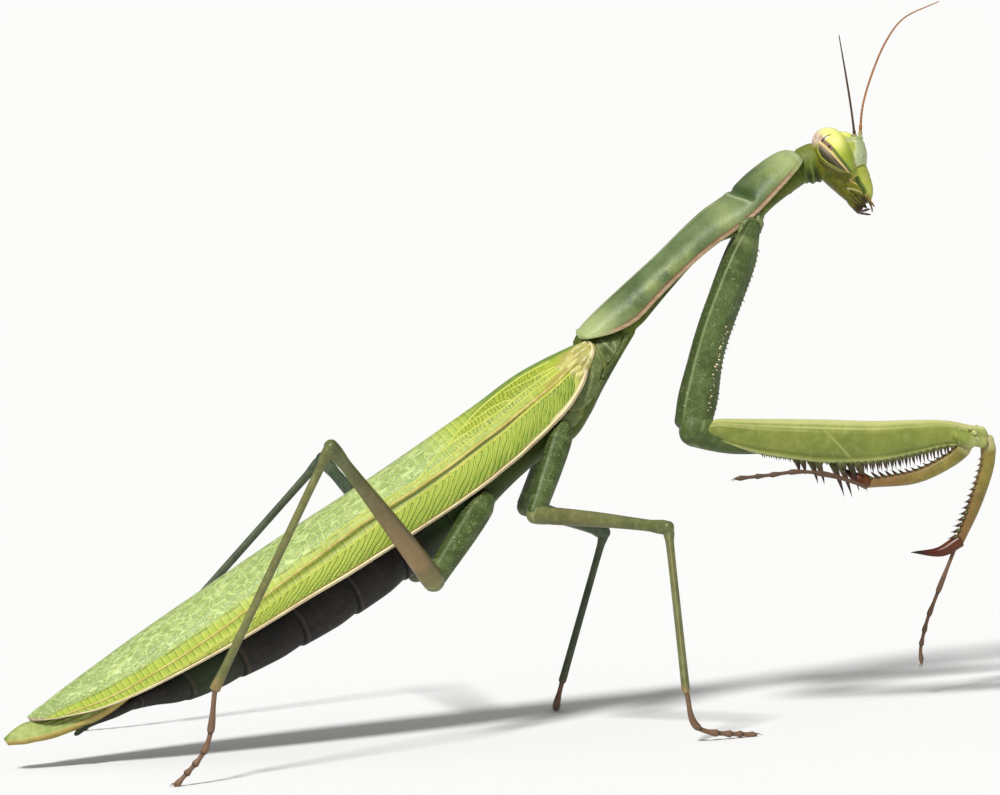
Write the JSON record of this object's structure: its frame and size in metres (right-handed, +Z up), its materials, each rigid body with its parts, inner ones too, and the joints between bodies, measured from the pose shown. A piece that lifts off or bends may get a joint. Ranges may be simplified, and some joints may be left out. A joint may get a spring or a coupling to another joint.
{
  "type": "praying mantis",
  "caption": "Green praying mantis, a still life-size figure with its body raised, wings folded along the back, a raptorial foreleg closed and its fellow reaching out.",
  "frame": {"origin": "middle of the bottom of the bounding box, on the floor under the body", "axes": "+X towards the head, +Y the animal's left side, +Z up"},
  "size_m": [0.0834, 0.0414, 0.0569],
  "materials": {
    "green": "satin insect cuticle, mid green, darker and softer between the plates",
    "shield": "satin grey-green cuticle with yellow-green patches and a pinkish-beige rim",
    "wing": "satin leathery forewing, bright yellow-green, with raised yellow veins and a cream front margin",
    "underwing": "thin olive membrane folded like a fan, orange at its edge",
    "abdomen": "satin cuticle, dark green in front to purple-brown behind",
    "eye": "smooth glossy compound eye, yellow-green with a pink cap and dark and gold bands",
    "leg": "satin cuticle, olive green turning tan-brown along the hind femora",
    "foreleg": "satin green cuticle with cream tubercles and edge lines",
    "tan": "satin tan to reddish-brown cuticle of the feet, feelers and mouthparts",
    "horn": "hard olive to tan cuticle with black-tipped spines and a dark red claw"
  },
  "bodies": {
    "root": {"tegmen_right": "wing", "tegmen_left": "wing", "hindwing_right": "underwing", "hindwing_left": "underwing", "abdomen_1": "abdomen", "abdomen_2": "abdomen", "abdomen_3": "abdomen", "abdomen_4": "abdomen", "abdomen_5": "abdomen", "abdomen_6": "abdomen", "abdomen_7": "abdomen", "abdomen_8": "abdomen", "cercus_right": "abdomen", "cercus_left": "abdomen", "pronotum": "shield", "prosternum": "green", "mesothorax": "green", "metathorax": "green", "eye_right": "eye", "eye_left": "eye", "head": "green", "neck": "green", "mouthparts": "tan", "antenna_right": "tan", "antenna_left": "tan", "foreleg_right_coxa": "foreleg", "foreleg_right_trochanter": "foreleg", "foreleg_right_tibia": "horn", "foreleg_right_tarsus": "tan", "foreleg_right_femur": "foreleg", "foreleg_left_coxa": "foreleg", "foreleg_left_trochanter": "foreleg", "foreleg_left_tibia": "horn", "foreleg_left_tarsus": "tan", "foreleg_left_femur": "foreleg", "leg_mid_right_coxa": "leg", "leg_mid_right_trochanter": "leg", "leg_mid_right_femur": "leg", "leg_mid_right_tibia": "leg", "leg_mid_right_tarsus": "tan", "leg_mid_left_coxa": "leg", "leg_mid_left_trochanter": "leg", "leg_mid_left_femur": "leg", "leg_mid_left_tibia": "leg", "leg_mid_left_tarsus": "tan", "leg_hind_right_coxa": "leg", "leg_hind_right_trochanter": "leg", "leg_hind_right_femur": "leg", "leg_hind_right_tibia": "leg", "leg_hind_right_tarsus": "tan", "leg_hind_left_coxa": "leg", "leg_hind_left_trochanter": "leg", "leg_hind_left_femur": "leg", "leg_hind_left_tibia": "leg", "leg_hind_left_tarsus": "tan"}
  },
  "joints": []
}
